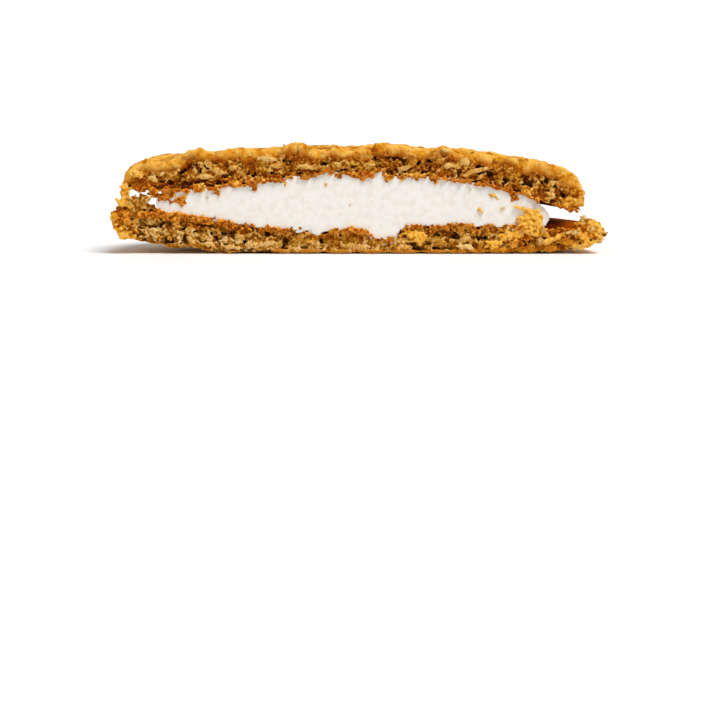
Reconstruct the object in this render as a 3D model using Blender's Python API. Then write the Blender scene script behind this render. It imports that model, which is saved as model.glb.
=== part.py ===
"""Half of an oatmeal cream pie, cut straight across and lying on its base.

Two soft oatmeal cookies hold a thick layer of white cream. The cut runs along X and faces -Y, and the
round rim is behind it. Sizes are in millimetres, measured along the cut from the middle of the pie and
up from its base, and become metres when a mesh is made.
"""

import math

import bmesh
import bpy
from mathutils import Vector, noise

MM = 0.001

# Driving sizes: the lower cookie is the widest, and the cream stops well inside both cookies.
BOTTOM_RADIUS = 40.0
TOP_RADIUS = 37.5
CREAM_RADIUS = 31.7
TOP_SHIFT = -1.0
COOKIE_RIM = 4.0
CREAM_RIM = 2.2
REST_GAP = 0.3

# Relief: the crust's lumps, the crumb torn by the knife, and the rims, which aren't quite round.
CRUST_LUMP_SIZE = 6.5
CRUST_LUMP_HEIGHT = 0.6
CRACK_SHARE = 0.35
CREST_SHARE = 0.4
CREST_CALM = 6.0
CRAG_SIZE = 2.4
CRAG_DEPTH = 0.6
CREAM_CRAG_DEPTH = 0.15
CUT_REACH = 1.5
COOKIE_WOBBLE = 1.1
CREAM_WOBBLE = 1.8
WOBBLE_PACE = 2.2

# How many columns along the cut, rows behind it and layers up each solid has.
COOKIE_GRID = (62, 15, 4)
CREAM_GRID = (46, 10, 5)
END_CROWDING = 0.2
CUT_CROWDING = 1.35

# Each surface as (distance along the cut, height), read from left to right.
TOP_COOKIE_UPPER = (
    (-38, 14.6), (-33, 15.9), (-26, 16.3), (-16, 17.1), (0, 17.2), (14, 17.2),
    (22, 16.4), (29, 15.2), (34, 13.9), (38, 12.4),
)
TOP_COOKIE_LOWER = (
    (-38, 10.2), (-27, 10.4), (-18, 11.3), (-10, 12.3), (8, 12.4), (17, 11.7),
    (25, 9.8), (29, 8.8), (33, 7.2), (38, 5.4),
)
BOTTOM_COOKIE_UPPER = (
    (-41, 6.4), (-32, 6.4), (-22, 5.0), (-12, 3.9), (0, 3.8), (12, 4.5),
    (26, 4.2), (34, 4.0), (41, 4.4),
)
BOTTOM_COOKIE_LOWER = (
    (-41, 3.4), (-35, 1.8), (-28, 0.8), (-21, 0.0), (29, 0.0), (35, 0.6), (41, 1.5),
)

# Lumps above the rest of a surface near the cut: (along, behind the cut, height, spread).
CREST_LUMPS = (
    (-25.6, 0.6, 0.7, 1.9),
    (-19.5, 1.4, 0.3, 2.6),
    (-10.0, 0.8, 1.0, 2.4),
    (-3.4, 1.2, 0.5, 2.2),
    (5.6, 0.8, 1.0, 3.0),
    (14.0, 1.6, 0.3, 2.2),
)
TORN_CLUMPS = (
    (-36.4, 1.2, 2.7, 2.8),
    (37.4, 1.4, 1.7, 2.3),
)

# Cream that the knife pushed down into the lower cookie: (along, half width, depth).
KNIFE_DRAGS = (
    (4.1, 2.1, 1.9),
    (-6.7, 0.9, 0.9),
)
DRAG_REACH = 1.6
DRAG_ROOM = 0.45

# The underside: a flat spot, three low points that carry the pie, and a lumpy crust just clear of the base.
FLAT_SPOT = (2.0, 14.0)
FLAT_RADIUS = 8.0
FLAT_EDGE = 4.0
FEET = ((-22.0, 3.0), (27.0, 3.0), (3.0, 29.0))
FOOT_DEPTH = 0.4
FOOT_SPREAD = 3.0
UNDERSIDE_LIFT = 0.2
UNDERSIDE_RELIEF = 0.6
CLEARANCE = 0.04


def through(stations, along):
    """The height at one place on a smooth curve through the stations."""
    last = len(stations) - 1
    along = min(max(along, stations[0][0]), stations[-1][0])
    index = max(i for i in range(last) if stations[i][0] <= along)
    (x0, z0), (x1, z1) = stations[index], stations[index + 1]
    before = stations[max(index - 1, 0)]
    after = stations[min(index + 2, last)]
    run = x1 - x0
    rise0 = run * (z1 - before[1]) / (x1 - before[0])
    rise1 = run * (after[1] - z0) / (after[0] - x0)
    t = (along - x0) / run
    start = z0 * (2 * t**3 - 3 * t**2 + 1) + rise0 * (t**3 - 2 * t**2 + t)
    end = z1 * (3 * t**2 - 2 * t**3) + rise1 * (t**3 - t**2)
    return start + end


def swung(stations, x, y):
    """A surface's height, as its right-hand outline swings round behind the cut into the left-hand one."""
    radius = math.hypot(x, y)
    right_share = 0.5 + 0.5 * x / radius if radius else 0.5
    right = through(stations, radius)
    left = through(stations, -radius)
    return right_share * right + (1 - right_share) * left


def crust_relief(x, y, seed):
    """Low rounded lumps with cracks between them, as a baked oatmeal crust has."""
    place = Vector((x, y, 0)) / CRUST_LUMP_SIZE + Vector((seed, 0, 0))
    nearest = noise.voronoi(place)[0]
    plateau = min(1.0, (nearest[1] - nearest[0]) / CRACK_SHARE)
    grain = noise.fractal(2 * place, 0.8, 2.0, 3)
    return CRUST_LUMP_HEIGHT * (plateau - 0.75 + 0.4 * grain)


def lumps(table, x, y):
    """The height that a table of lumps adds at one place."""
    return sum(
        height * math.exp(-((x - along) ** 2 + (y - behind) ** 2) / spread**2)
        for along, behind, height, spread in table
    )


def drag(x, y, room):
    """How deep the knife pushed the cream down at one place, with some room round it."""
    depth = 0.0
    for along, half_width, drop in KNIFE_DRAGS:
        beside = max(0.0, abs(x - along) - room) / half_width
        depth = max(depth, drop * math.exp(-(beside**4)))
    return depth * max(0.0, 1 - max(0.0, y - room) / DRAG_REACH)


def top_cookie_upper(x, y):
    """The domed crust on top of the pie, calmer near the cut, where its lumps are placed one by one."""
    relief = crust_relief(x, y, 3.1) * min(1.0, CREST_SHARE + y / CREST_CALM)
    return swung(TOP_COOKIE_UPPER, x, y) + relief + lumps(CREST_LUMPS, x, y)


def top_cookie_lower(x, y):
    """The flat-baked side of the upper cookie, bent over the cream."""
    return swung(TOP_COOKIE_LOWER, x, y)


def bottom_cookie_upper(x, y):
    """The flat-baked side of the lower cookie, notched by the knife and torn up at its two ends."""
    return swung(BOTTOM_COOKIE_UPPER, x, y) + lumps(TORN_CLUMPS, x, y) - drag(x, y, DRAG_ROOM)


def bottom_cookie_lower(x, y):
    """The crust on the underside: a flat spot, low points that carry the pie, and lumps that hang down."""
    from_spot = math.hypot(x - FLAT_SPOT[0], y - FLAT_SPOT[1])
    off_spot = min(1.0, max(0.0, (from_spot - FLAT_RADIUS) / FLAT_EDGE))
    bare = swung(BOTTOM_COOKIE_LOWER, x, y) + UNDERSIDE_LIFT - UNDERSIDE_RELIEF * crust_relief(x, y, 8.4)
    feet = [(along, behind, FOOT_DEPTH, FOOT_SPREAD) for along, behind in FEET]
    return off_spot * max(CLEARANCE, bare - lumps(feet, x, y))


def seat(mesh):
    """Brings the nearest point to each foot down to the base, so that the pie stands on just those three."""
    for along, behind in FEET:
        foot = Vector((along, behind, 0)) * MM
        nearest = min(mesh.vertices, key=lambda point: (point.co - foot).length)
        nearest.co.z = 0


def cream_upper(x, y):
    """The cream's top, just under the upper cookie."""
    return top_cookie_lower(x, y) - REST_GAP


def cream_lower(x, y):
    """The cream's underside, just over the lower cookie, with the knife's drags."""
    return swung(BOTTOM_COOKIE_UPPER, x, y) + REST_GAP - drag(x, y, 0.0)


def slab(name, grid, place):
    """A block in columns, rows and layers, with each point (u, v, w) moved to place(u, v, w)."""
    block = bmesh.new()
    bmesh.ops.create_cube(block, size=2)
    for axis, pieces in enumerate(grid):
        along_axis = [
            edge for edge in block.edges
            if abs((edge.verts[1].co - edge.verts[0].co).normalized()[axis]) > 0.99
        ]
        bmesh.ops.subdivide_edges(block, edges=along_axis, cuts=pieces - 1, use_grid_fill=True)
    for point in block.verts:
        point.co = Vector(place(*point.co)) * MM
    bmesh.ops.recalc_face_normals(block, faces=block.faces)
    mesh = bpy.data.meshes.new(name)
    block.to_mesh(mesh)
    block.free()
    return mesh


def half_disc(u, v):
    """Bends a block's plan to a half disc of radius 1, with its points closer at the cut and the ends."""
    u = (1 - END_CROWDING) * u + END_CROWDING * math.sin(0.5 * math.pi * u)
    v = (0.5 + 0.5 * v) ** CUT_CROWDING
    return u * math.sqrt(1 - 0.5 * v * v), v * math.sqrt(1 - 0.5 * u * u)


def half_layer(name, shift, radius, rim, wobble, upper, lower, crag_depth, grid, seed):
    """Half a round layer between two surfaces, with a rounded rim and a craggy cut."""

    def place(u, v, w):
        across, behind = half_disc(u, v)
        angle = math.atan2(behind, across)
        round_rim = Vector((math.cos(angle), math.sin(angle), 0)) * WOBBLE_PACE
        outline = radius + wobble * noise.noise(round_rim + Vector((0, 0, seed)))
        reach = outline * math.hypot(across, behind)
        out = max(0.0, reach - outline + rim) / rim
        if out:
            reach = outline - rim + rim * out * math.sqrt(1 - 0.5 * w * w)
        x = shift + reach * math.cos(angle)
        y = reach * math.sin(angle)
        high = upper(x, y)
        low = lower(x, y)
        z = 0.5 * (high + low) + 0.5 * (high - low) * w * math.sqrt(1 - 0.5 * out * out)
        crag = noise.fractal(Vector((x, z, seed)) / CRAG_SIZE, 0.9, 2.0, 3)
        return x, y + crag_depth * crag * max(0.0, 1 - y / CUT_REACH), z

    return slab(name, grid, place)


def matte(name, colour, roughness):
    """A dull edible surface of one colour."""
    made = bpy.data.materials.new(name)
    made.use_nodes = True
    shader = made.node_tree.nodes["Principled BSDF"]
    shader.inputs["Base Color"].default_value = (*colour, 1)
    shader.inputs["Roughness"].default_value = roughness
    shader.inputs["Metallic"].default_value = 0.0
    return made


def add(mesh, finish, collection, middle):
    """An object for a layer's mesh, under the empty that places the pie."""
    mesh.materials.append(finish)
    mesh.shade_smooth()
    mesh.set_sharp_from_angle(angle=math.radians(50))
    made = bpy.data.objects.new(mesh.name, mesh)
    collection.objects.link(made)
    made.parent = middle
    return made


def top_cookie(collection, middle):
    """The upper cookie, bent over the cream and lower at its right end."""
    mesh = half_layer(
        "top_cookie", TOP_SHIFT, TOP_RADIUS, COOKIE_RIM, COOKIE_WOBBLE,
        top_cookie_upper, top_cookie_lower, CRAG_DEPTH, COOKIE_GRID, 1.7,
    )
    return add(mesh, matte("Golden baked cookie", (0.50, 0.24, 0.05), 0.75), collection, middle)


def cream_filling(collection, middle):
    """The whipped filling between the cookies."""
    mesh = half_layer(
        "cream_filling", TOP_SHIFT, CREAM_RADIUS, CREAM_RIM, CREAM_WOBBLE,
        cream_upper, cream_lower, CREAM_CRAG_DEPTH, CREAM_GRID, 5.2,
    )
    return add(mesh, matte("Whipped cream filling", (0.88, 0.84, 0.76), 0.6), collection, middle)


def bottom_cookie(collection, middle):
    """The lower cookie, which the pie rests on, with its ends curled up."""
    mesh = half_layer(
        "bottom_cookie", 0.0, BOTTOM_RADIUS, COOKIE_RIM, COOKIE_WOBBLE,
        bottom_cookie_upper, bottom_cookie_lower, CRAG_DEPTH, COOKIE_GRID, 9.3,
    )
    seat(mesh)
    return add(mesh, matte("Brown baked cookie", (0.40, 0.18, 0.04), 0.75), collection, middle)


def centre_on_base(middle, layers):
    """Moves the pie so that the middle of its bounding box is over the origin and its base at height 0."""
    points = [point.co for layer in layers for point in layer.data.vertices]
    low = [min(point[axis] for point in points) for axis in range(3)]
    high = [max(point[axis] for point in points) for axis in range(3)]
    middle.location = (-0.5 * (low[0] + high[0]), -0.5 * (low[1] + high[1]), -low[2])


def main():
    for old in list(bpy.data.objects):
        bpy.data.objects.remove(old)
    pie = bpy.data.collections.new("Oatmeal cream pie half")
    bpy.context.scene.collection.children.link(pie)
    middle = bpy.data.objects.new("pie_middle", None)
    pie.objects.link(middle)
    layers = [make(pie, middle) for make in (top_cookie, cream_filling, bottom_cookie)]
    centre_on_base(middle, layers)


main()
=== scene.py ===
"""Half of an oatmeal cream pie, cut straight across: soft baked cookies, whipped cream and torn crumb.

The cookies and the cream start from the fixed frame's own layers. Each is meshed finely, torn along the
cut in code and finished with a procedural material. Clumps of crumb and oat flakes are added on top.
Lengths in the tables and in the relief functions are millimetres; meshes and settings are in metres.
"""

import math
import random
from types import SimpleNamespace

import bmesh
import bpy
import numpy as np
from bpy.props import FloatProperty, FloatVectorProperty, IntProperty, PointerProperty
from mathutils import Euler, Matrix, Vector, noise
from mathutils.bvhtree import BVHTree
from mathutils.kdtree import KDTree


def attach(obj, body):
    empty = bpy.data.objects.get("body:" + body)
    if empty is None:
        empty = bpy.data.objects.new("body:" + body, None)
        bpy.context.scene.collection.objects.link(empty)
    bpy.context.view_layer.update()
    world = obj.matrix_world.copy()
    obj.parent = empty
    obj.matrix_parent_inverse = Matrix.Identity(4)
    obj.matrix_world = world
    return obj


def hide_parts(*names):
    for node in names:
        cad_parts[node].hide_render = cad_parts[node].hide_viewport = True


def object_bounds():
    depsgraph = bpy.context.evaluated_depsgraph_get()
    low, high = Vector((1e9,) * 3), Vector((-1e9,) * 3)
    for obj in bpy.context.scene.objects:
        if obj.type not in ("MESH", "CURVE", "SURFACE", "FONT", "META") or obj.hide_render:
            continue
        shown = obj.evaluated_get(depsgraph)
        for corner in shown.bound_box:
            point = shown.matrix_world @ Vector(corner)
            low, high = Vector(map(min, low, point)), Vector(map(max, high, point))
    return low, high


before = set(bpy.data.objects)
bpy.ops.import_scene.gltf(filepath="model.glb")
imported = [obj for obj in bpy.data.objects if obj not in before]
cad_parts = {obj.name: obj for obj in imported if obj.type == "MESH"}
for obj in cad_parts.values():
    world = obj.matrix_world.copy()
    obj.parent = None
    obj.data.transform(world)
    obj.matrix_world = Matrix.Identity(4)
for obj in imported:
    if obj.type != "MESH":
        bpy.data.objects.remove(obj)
CAD_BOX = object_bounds()

bl_info = {
    "name": "Oatmeal Cream Pie Half",
    "version": (1, 0, 0),
    "blender": (4, 5, 0),
    "location": "View3D > Sidebar > Pie",
    "description": "Bakes the cookies, whips the cream and scatters the crumbs of a cut oatmeal cream pie",
    "category": "Add Mesh",
}

MM = 0.001
# The plane of the cut, in millimetres.
CUT = CAD_BOX[0].y / MM

# The photograph's view. In pixels: its side, the rows of the half's base and of the horizon, and the
# column of the half's middle. In millimetres: a pixel at the cut, the camera's distance and its film.
PHOTO_SIDE = 708
BASE_ROW = 254
HORIZON_ROW = 120
MIDDLE_COLUMN = 358.75
PIXEL = 0.1618
CAMERA_TO_CUT = 291.0
SENSOR = 36.0

# The studio, in metres: where the soft light stands, its spread in degrees, half the paper's length and
# the radius of its bend behind the half.
LIGHT_PLACE = (0.35, -0.4, 0.85)
LIGHT_SPREAD = 28
PAPER_HALF = 3.0
PAPER_BEND = 1.0

# Widths of what the patterns draw: on the crust its cracked plates, oats, pits and grit, on torn crumb its
# ridges and pores, and in the materials the flour's grain, patches of darker dough and air in the cream.
PLATES, OAT_BUMPS, PITS, GRIT = 5.2, 2.1, 1.3, 0.9
CUT_RIDGES, LUMP_RIDGES, PORES = 1.1, 0.7, 0.5
FLOUR_GRAIN, DOUGH_PATCHES, CREAM_AIR = 0.286, 1.54, 1.11

# A crumb of at most so many points is deleted where it hangs further than this from every layer.
SMALL_CRUMB = 3000
HELD_WITHIN = 0.3

# Crumbs on the cream that are smaller than this are pale dust.
DUST = 0.22

# How much of the light a greasy crust throws back.
GREASE = 0.04

# Kept for each point of a cookie, for its material to read: how much crust, orange layer and flat side
# there is, the flat side's value growing further back so that its far part is painted darker as shadow; how
# deep it lies in a hollow, which its material paints as shade; and how pale it is, partly its own colour
# and partly painted light and shade.
MARKS = ("crust", "rust", "flat", "depth", "tone")

# Crumbs that the knife dragged about, as trails: (kind, grains, spread, grain radius, path), with a path
# of (along, height).
TOP_TRAILS = (
    ("gold", 60, 0.4, 0.42, ((-38, 11.2), (-37.8, 10.5), (-37.5, 9.8), (-37.9, 8.9))),
    ("gold", 34, 0.5, 0.36, ((-36.6, 12.7), (-36, 13), (-35.2, 12.5))),
    # The shade trail is painted shade on the shadowed inner side of the left end.
    ("shade", 26, 0.5, 0.42, ((-36, 11.8), (-35, 11.7), (-33.6, 11.4))),
    ("rust", 30, 0.5, 0.36, ((-36.4, 11), (-35.2, 10.8), (-34, 10.9))),
    ("rust", 50, 0.52, 0.42, ((-33.6, 10.3), (-33, 9.4), (-31.6, 9.1), (-30.5, 9.4), (-30.2, 10.4))),
    ("rust", 22, 0.52, 0.36, ((-29.6, 8.9), (-28.8, 8.4), (-28.1, 8.6))),
    ("gold", 5, 0.19, 0.26, ((-29.7, 9.4), (-29.4, 9.2))),
    ("gold", 5, 0.19, 0.26, ((-28, 9.4), (-27.8, 8.9))),
    ("rust", 10, 0.4, 0.36, ((-27, 10.7), (-26, 10.7))),
    ("gold", 12, 0.42, 0.36, ((-25.4, 11), (-25, 10))),
    ("rust", 14, 0.42, 0.32, ((-23.1, 10.7), (-22.9, 9.7))),
    ("gold", 6, 0.32, 0.28, ((-22.9, 10.8), (-22.6, 10.4))),
    ("gold", 12, 0.39, 0.32, ((-20.2, 11.8), (-19.9, 10.8))),
    ("pale", 12, 0.55, 0.39, ((-17.3, 11.8), (-16.8, 11.3))),
    ("rust", 12, 0.39, 0.34, ((-17.1, 11), (-16.8, 10.2))),
    ("gold", 7, 0.21, 0.24, ((-15.8, 11.6), (-14.8, 12.1))),
    ("gold", 14, 0.13, 0.21, ((-11.6, 12.1), (-12, 10.8))),
    ("rust", 6, 0.24, 0.29, ((-13.4, 12.5), (-12.4, 12.5))),
    ("rust", 10, 0.32, 0.32, ((-3.5, 12.6), (-2.7, 12.8))),
    ("rust", 22, 0.39, 0.36, ((-0.8, 12.8), (0.4, 12.3), (1.2, 12.8))),
    ("gold", 16, 0.42, 0.34, ((4.2, 12.5), (4.7, 11.8), (5.2, 12.1))),
    ("rust", 8, 0.23, 0.26, ((4.1, 12.8), (4.6, 11.5))),
    ("gold", 18, 0.19, 0.28, ((7.2, 12.8), (10.7, 12.8))),
    ("rust", 8, 0.29, 0.29, ((11.7, 12.1), (12.2, 11.6))),
    ("rust", 8, 0.29, 0.31, ((15.6, 11.8), (16.9, 11.5))),
    ("gold", 24, 0.2, 0.3, ((21.1, 9.6), (21.9, 9.3), (22.5, 9))),
    ("rust", 20, 0.45, 0.37, ((24.8, 9.2), (25.6, 8.6))),
    ("gold", 16, 0.55, 0.42, ((26.7, 10.5), (27.7, 9.9))),
    ("gold", 16, 0.45, 0.36, ((30.9, 9.7), (31.4, 9.2))),
    ("tan", 14, 0.49, 0.36, ((32.2, 11), (33.2, 10.4))),
    ("gold", 26, 0.65, 0.36, ((33.4, 8.7), (34.7, 8.1))),
    ("crust", 40, 0.45, 0.38, ((35.3, 10.4), (35.8, 9.1), (35.5, 7.8))),
    ("rust", 24, 0.36, 0.36, ((32.2, 7.9), (33.5, 7.3), (35.2, 7.3))),
)
BOTTOM_TRAILS = (
    ("gold", 34, 0.5, 0.42, ((-38.3, 8.2), (-38, 8.6), (-37.2, 8.1))),
    ("tan", 44, 0.58, 0.45, ((-37.3, 8.9), (-35.7, 8.6), (-34.4, 8.9))),
    ("tan", 30, 0.52, 0.42, ((-36.8, 7.8), (-35.4, 7.4), (-34.3, 7.9))),
    ("brown", 9, 0.26, 0.29, ((-33.8, 8.1), (-33.1, 7.8), (-32.6, 7.3))),
    ("brown", 4, 0.15, 0.24, ((-35.1, 9.6), (-34.9, 9.4))),
    ("crust", 70, 0.25, 0.42, ((-39.5, 6.8), (-39.6, 5.6), (-39.1, 4.2), (-38.3, 3.3), (-36.4, 2.7))),
    ("gold", 10, 0.2, 0.3, ((-38.5, 3), (-38.4, 2.3))),
    ("rust", 60, 0.65, 0.42, ((-38.8, 5.9), (-37.8, 5), (-36.6, 3.9))),
    ("brown", 26, 0.6, 0.36, ((-38.3, 5), (-37.2, 4.2), (-36.2, 3.4))),
    ("gold", 44, 0.5, 0.38, ((-39, 4.8), (-38.1, 3.6), (-36.4, 3))),
    ("gold", 30, 0.23, 0.28, ((25.1, 7.8), (25.9, 7.4), (27.1, 7.1), (28, 7))),
    ("gold", 22, 0.39, 0.36, ((28.4, 6.8), (29.2, 6.5), (29.3, 5.7))),
    ("gold", 150, 0.75, 0.5, ((26.9, 5.8), (28.4, 5.7), (28.5, 4.4))),
    ("gold", 90, 0.7, 0.5, ((26.2, 4.4), (27.6, 4.2), (28.4, 3.7))),
    ("gold", 70, 0.6, 0.42, ((26, 3.1), (24.8, 3), (23.3, 2.8))),
    ("pale", 16, 0.9, 0.3, ((23.5, 3.3), (25.6, 3.4), (27.4, 4.6), (28.6, 5.4))),
    ("rust", 26, 0.4, 0.34, ((24.4, 2), (26.4, 2.3), (28.2, 2.5))),
    ("gold", 14, 0.5, 0.4, ((25.6, 2.1), (24.6, 1.8))),
    ("gold", 24, 0.45, 0.42, ((22.7, 1.6), (21.2, 1.5))),
    ("pale", 6, 0.26, 0.29, ((29.6, 4), (30.1, 3.9))),
    ("gold", 34, 0.32, 0.34, ((29.9, 1.9), (31, 2.2), (32, 2.8), (33, 3.3))),
    ("crust", 14, 0.3, 0.3, ((29.2, 3.3), (30.6, 3.1))),
    ("pale", 13, 0.14, 0.22, ((33.1, 3.4), (34, 3.6), (35.5, 3.5))),
    ("rust", 30, 0.2, 0.24, ((30.3, 3.9), (32.5, 3.95), (35.2, 4))),
    # The shade trail is painted shade in the hollow near the right end.
    ("shade", 18, 0.45, 0.3, ((30.5, 3.3), (31.4, 3.4), (32, 3.3))),
    ("tan", 16, 0.42, 0.35, ((29.3, 2.3), (30.1, 1.1))),
    ("gold", 16, 0.32, 0.34, ((35.8, 4.9), (36.3, 6))),
    ("rust", 14, 0.39, 0.39, ((35.3, 4.7), (36.3, 4.2))),
    ("pale", 14, 0.2, 0.3, ((36.1, 5), (36.3, 6.1))),
    ("gold", 130, 0.48, 0.42, ((37.5, 4), (38.2, 4.4), (38.6, 3.5))),
    ("pale", 18, 0.5, 0.26, ((37.6, 4.1), (38.2, 4.7), (38.6, 3.7))),
    ("gold", 7, 0.12, 0.26, ((38.2, 5), (38.4, 5.4))),
    ("rust", 14, 0.3, 0.36, ((37.5, 2.9), (38.5, 2.5))),
    ("gold", 34, 0.3, 0.34, ((37.3, 5), (38.2, 5.1), (38.8, 4.3))),
    ("pale", 12, 0.25, 0.28, ((39.1, 3.2), (39.3, 2.6), (39, 2))),
    ("gold", 36, 0.5, 0.45, ((35.4, 3.5), (36.4, 2.8), (37, 2))),
    ("rust", 20, 0.3, 0.36, ((36.3, 4.2), (36.7, 3.5))),
    ("gold", 18, 0.35, 0.36, ((38.9, 3.1), (39.1, 2.4), (38.3, 1.9))),
    ("gold", 44, 0.3, 0.36, ((34.9, 1.2), (36.3, 1.2), (37.7, 1.7))),
    ("pale", 12, 0.3, 0.28, ((34.9, 1.1), (37.7, 1.6))),
    ("gold", 36, 0.52, 0.44, ((7.8, 3.1), (8.9, 3.2), (10.1, 2.9))),
    ("gold", 18, 0.45, 0.4, ((8.9, 2.3), (10.6, 2.1))),
    ("pale", 18, 0.36, 0.36, ((16.2, 1.1), (18.2, 1.1))),
    ("gold", 8, 0.36, 0.36, ((6.8, 1.3), (7.3, 1.1))),
    ("gold", 10, 0.39, 0.39, ((-7.7, 2.4), (-6.9, 1.8))),
    ("rust", 26, 0.32, 0.34, ((-1.8, 4.1), (0, 3.9), (1.3, 3.5))),
    ("rust", 60, 0.26, 0.32, ((-30.5, 6.5), (-28, 6.1), (-24.7, 5.7), (-20.8, 5.2))),
    ("rust", 14, 0.42, 0.39, ((-33, 6.8), (-31.7, 6.8))),
    ("rust", 80, 0.5, 0.42, ((-39, 6.8), (-36.2, 6.4), (-33.8, 6.4), (-30, 5.6))),
)

# How pale each kind of crumb is, and how much crust and how much of the orange layer it has.
KINDS = {
    "gold": (0.78, 1, 0),
    "crust": (0.36, 1, 0.1),
    "pale": (0.92, 0.1, 0),
    "tan": (0.62, 0.2, 0),
    "brown": (0.2, 0, 0),
    # Shade grains are painted shade: dark crumb laid where hollows lie in shadow.
    "shade": (-0.2, 0, 0),
    "rust": (0.45, 0, 1),
}

# Hollows in the crumb of each cut: (along, height, half length, half height).
TOP_CREVICES = (
    (-34.6, 11.3, 1.3, 0.9), (-28.9, 11.6, 1.3, 0.6), (-28.3, 13.4, 0.8, 0.4), (-25.2, 11.6, 1, 0.4),
    (-25.8, 13.4, 0.5, 0.4), (-22.8, 11.8, 0.6, 0.6), (-22.4, 14.8, 1.1, 0.3), (-17.7, 14.6, 0.8, 0.3),
    (-17.1, 13, 1, 0.6), (-11, 14.6, 0.6, 0.3), (-8.7, 14.6, 0.6, 0.2), (-9.2, 12.9, 0.6, 0.3),
    (-5.5, 14.5, 1.5, 0.5), (-1.5, 15.3, 0.8, 0.2), (-2.7, 13.4, 0.5, 0.3), (0.5, 13.3, 1.3, 0.2),
    (0, 14.5, 0.6, 0.4), (2.6, 15.3, 0.5, 0.4), (6.2, 15.3, 1.3, 0.6), (5.6, 13.2, 1, 0.4),
    (9.4, 14.6, 0.4, 0.7), (11.4, 15.2, 1, 0.2), (13.1, 12.6, 0.6, 0.2), (15.9, 14.7, 0.4, 0.4),
    (16.8, 15.3, 0.3, 0.5), (18.1, 15, 0.3, 0.5), (19.1, 14.3, 0.6, 0.5), (20.7, 12.9, 1.1, 0.5),
    (21.4, 11.2, 0.6, 0.3), (27.3, 12.1, 1, 0.7), (29.9, 11.7, 1, 0.8), (28.2, 10.9, 1, 0.3),
    (32, 10.8, 0.9, 0.6), (34.7, 10.3, 0.5, 0.9), (33.6, 9.6, 0.8, 0.5), (30.1, 10.2, 1, 0.4),
    (25.5, 10.4, 0.8, 0.4), (24, 11.6, 1, 0.5),
)
BOTTOM_CREVICES = (
    (-34.1, 7, 1.1, 0.5), (-36.7, 5.4, 0.6, 0.2), (-31.9, 4.7, 0.3, 0.6), (-31.1, 2.7, 0.6, 0.7),
    (-28.4, 3.9, 0.3, 0.3), (-28, 2.4, 0.6, 0.6), (-25.5, 4.3, 0.5, 0.5), (-24.1, 3.2, 0.8, 0.3),
    (-23.3, 2.7, 0.4, 0.6), (-22, 3.2, 0.8, 0.2), (-20.5, 3.3, 0.6, 0.3), (-19.7, 3.5, 1, 0.2),
    (-18.6, 1.8, 0.6, 0.7), (-14.6, 3.2, 1.3, 0.4), (-11.8, 2.3, 0.8, 0.7), (-12.1, 1, 1, 0.4),
    (-10.5, 3.4, 1, 0.4), (-7.2, 2.8, 0.3, 0.3), (-6.1, 2, 0.4, 0.7), (0.4, 3.2, 0.5, 0.2),
    (0.8, 2.5, 0.5, 0.2), (5.8, 2.3, 0.3, 0.3), (9, 1.1, 1.3, 0.6), (15.5, 3.1, 1, 0.4),
    (16.9, 3, 0.6, 0.2), (18.6, 2.7, 0.6, 0.4), (20.3, 2.3, 1.1, 0.5), (27.2, 2.3, 0.8, 0.5),
    (27.2, 1.3, 1.1, 0.4), (31.3, 3.4, 1.7, 0.75), (29.4, 3.7, 0.7, 0.3), (5, 1.7, 0.45, 0.4),
)

# Rolled oats that show on each cut: (along, height, half length, half height, tilt in degrees, tone).
TOP_OATS = (
    (-23, 13.5, 1.3, 0.9, -20, 0.8), (-29.6, 14.1, 1, 0.5, 0, 0.75), (-24.8, 12.5, 1.1, 0.5, 5, 0.95),
    (-33.3, 12.1, 0.7, 0.6, -30, 0.95), (-13.2, 14.2, 0.7, 0.6, 0, 0.8), (-8.8, 14.1, 1.3, 0.5, -5, 0.95),
    (-0.7, 14.6, 0.7, 0.4, -15, 0.7), (8.7, 14.6, 1, 0.5, 35, 0.6), (14.4, 14.2, 0.7, 0.7, 0, 1.05),
    (17.2, 14.8, 0.7, 0.9, -15, 0.95), (19, 13.4, 1.9, 0.4, 15, 0.85), (13.9, 16.75, 0.95, 0.3, -15, 1),
    (31.2, 9.5, 0.6, 0.7, 0, 0.9), (-15, 15.4, 1.3, 0.4, -5, 1), (7.3, 13.8, 1.1, 0.4, 10, 0.85),
    (-20.3, 13.9, 0.6, 0.5, 10, 0.85),
)
BOTTOM_OATS = (
    (-33.3, 3.6, 0.8, 0.7, 0, 0.85), (-27.1, 2, 1.2, 0.7, -50, 0.8), (-24.4, 1.5, 1, 0.4, 0, 0.85),
    (-21, 1.1, 0.8, 0.4, 0, 0.9), (-19.4, 2.7, 0.8, 0.6, -15, 0.75), (-19.7, 1, 0.8, 0.3, 0, 0.85),
    (-17.7, 3.2, 0.6, 0.5, 20, 0.75), (-16.9, 1.5, 1.6, 0.6, -5, 0.85), (-14.7, 1.7, 1.1, 0.8, 15, 0.9),
    (-13, 1.5, 0.6, 0.8, 0, 0.75), (-9.6, 2.1, 1.7, 1, 5, 0.5), (-10.4, 0.8, 1.1, 0.3, 5, 0.9),
    (-7, 1.7, 0.9, 0.7, -50, 0.85), (-4.4, 2, 1.5, 1.1, 0, 0.42), (-0.7, 2.2, 1.4, 0.9, 0, 0.42),
    (7.1, 1.3, 0.6, 0.5, 0, 0.9), (13, 1.9, 1.5, 0.9, -10, 0.6), (17.4, 1.1, 1.1, 0.5, 10, 0.95),
    (17, 2.3, 1.1, 0.6, 25, 0.75), (3, 1.8, 1.3, 0.5, 0, 0.6), (-1.7, 1.3, 1.5, 0.6, 0, 0.7),
    (0.2, 1.1, 1.1, 0.4, 0, 0.85), (-30.1, 1.3, 1.5, 0.4, -8, 0.35), (-25.7, 1.3, 1, 0.5, 0, 0.35),
)

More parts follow.
